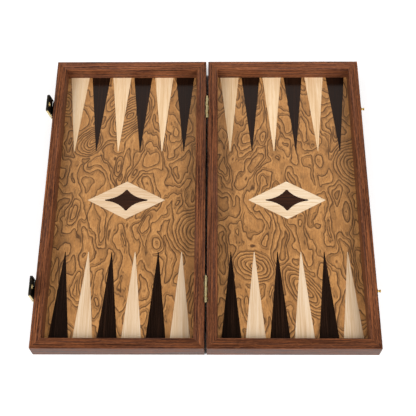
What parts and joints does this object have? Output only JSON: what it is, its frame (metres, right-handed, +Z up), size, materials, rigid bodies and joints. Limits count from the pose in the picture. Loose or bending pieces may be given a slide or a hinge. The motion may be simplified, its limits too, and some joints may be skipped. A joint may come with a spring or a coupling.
{
  "type": "backgammon board",
  "caption": "Folding wooden backgammon case, open flat: two inlaid trays joined by brass hinges, with two hasps and studs that lock it shut.",
  "frame": {"origin": "middle of the open case's footprint, on the table", "axes": "+X across the hinge line from the left tray with the hasps to the right tray with the studs, +Y along the hinge line to the back, +Z up"},
  "size_m": [0.498, 0.48, 0.0481],
  "materials": {
    "walnut_rail": "satin lacquer",
    "burl_field": "satin lacquer",
    "burl_underside": "satin lacquer",
    "light_inlay": "satin lacquer",
    "dark_inlay": "satin lacquer",
    "brass": "polished",
    "aged_bronze": "dark antique"
  },
  "bodies": {
    "left_case": {"left_front_rail": "walnut_rail", "left_back_rail": "walnut_rail", "left_outer_rail": "walnut_rail", "left_hinge_rail": "walnut_rail", "left_base_panel": "burl_underside", "left_playfield": "burl_field", "left_back_point_1": "light_inlay", "left_back_point_2": "dark_inlay", "left_back_point_3": "light_inlay", "left_back_point_4": "dark_inlay", "left_back_point_5": "light_inlay", "left_back_point_6": "dark_inlay", "left_front_point_1": "dark_inlay", "left_front_point_2": "light_inlay", "left_front_point_3": "dark_inlay", "left_front_point_4": "light_inlay", "left_front_point_5": "dark_inlay", "left_front_point_6": "light_inlay", "left_diamond": "light_inlay", "left_star": "dark_inlay", "back_hinge_left_leaf": "brass", "back_hinge_pin": "brass", "back_hasp_plate": "aged_bronze", "back_hasp_pin": "brass", "front_hinge_left_leaf": "brass", "front_hinge_pin": "brass", "front_hasp_plate": "aged_bronze", "front_hasp_pin": "brass"},
    "right_case": {"right_front_rail": "walnut_rail", "right_back_rail": "walnut_rail", "right_outer_rail": "walnut_rail", "right_hinge_rail": "walnut_rail", "right_base_panel": "burl_underside", "right_playfield": "burl_field", "right_back_point_1": "light_inlay", "right_back_point_2": "dark_inlay", "right_back_point_3": "light_inlay", "right_back_point_4": "dark_inlay", "right_back_point_5": "light_inlay", "right_back_point_6": "dark_inlay", "right_front_point_1": "dark_inlay", "right_front_point_2": "light_inlay", "right_front_point_3": "dark_inlay", "right_front_point_4": "light_inlay", "right_front_point_5": "dark_inlay", "right_front_point_6": "light_inlay", "right_diamond": "light_inlay", "right_star": "dark_inlay", "back_hinge_right_leaf": "brass", "back_strike_plate": "aged_bronze", "back_strike_knob": "brass", "front_hinge_right_leaf": "brass", "front_strike_plate": "aged_bronze", "front_strike_knob": "brass"},
    "back_hasp": {"back_hasp": "aged_bronze", "back_hasp_eyelet": "brass"},
    "front_hasp": {"front_hasp": "aged_bronze", "front_hasp_eyelet": "brass"}
  },
  "joints": [
    {"name": "case_fold", "type": "hinge", "parent": "left_case", "child": "right_case", "pos_m": [0.00137, 0, 0.03415], "axis": [0, -1, 0], "range_deg": [0, 180]},
    {"name": "back_hasp_turn", "type": "hinge", "parent": "left_case", "child": "back_hasp", "pos_m": [-0.24263, 0.153, 0.024], "axis": [0, -1, 0], "range_deg": [-11, 129]},
    {"name": "front_hasp_turn", "type": "hinge", "parent": "left_case", "child": "front_hasp", "pos_m": [-0.24263, -0.153, 0.024], "axis": [0, -1, 0], "range_deg": [-3, 137]}
  ]
}
